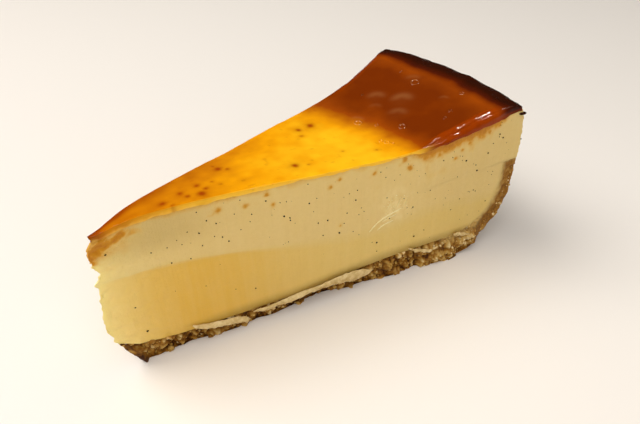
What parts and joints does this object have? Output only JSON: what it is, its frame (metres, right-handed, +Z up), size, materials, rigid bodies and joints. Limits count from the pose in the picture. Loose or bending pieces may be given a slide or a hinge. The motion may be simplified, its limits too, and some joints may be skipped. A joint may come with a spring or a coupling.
{
  "type": "cheesecake slice",
  "caption": "Wedge-shaped slice of creme brulee cheesecake: crumb crust with an upstand, baked custard, vanilla cream and a glossy caramel top with a burnt rim.",
  "frame": {"origin": "on the surface that the slice stands on, under the middle of its bounding box", "axes": "+X from the pointed tip towards the crusted rim, along the slice's middle plane; +Z up; +Y to the left of +X"},
  "size_m": [0.1287, 0.0586, 0.052],
  "materials": {
    "crumb": "coarse baked biscuit crumb, matte",
    "custard": "smooth baked custard, satin, cut with a knife",
    "cream": "set vanilla cream, satin, with vanilla seeds",
    "caramel": "glossy burnt caramel glaze, darker towards the rim"
  },
  "bodies": {
    "root": {"crumb_crust": "crumb", "baked_custard": "custard", "vanilla_cream": "cream", "caramel_glaze": "caramel"}
  },
  "joints": []
}
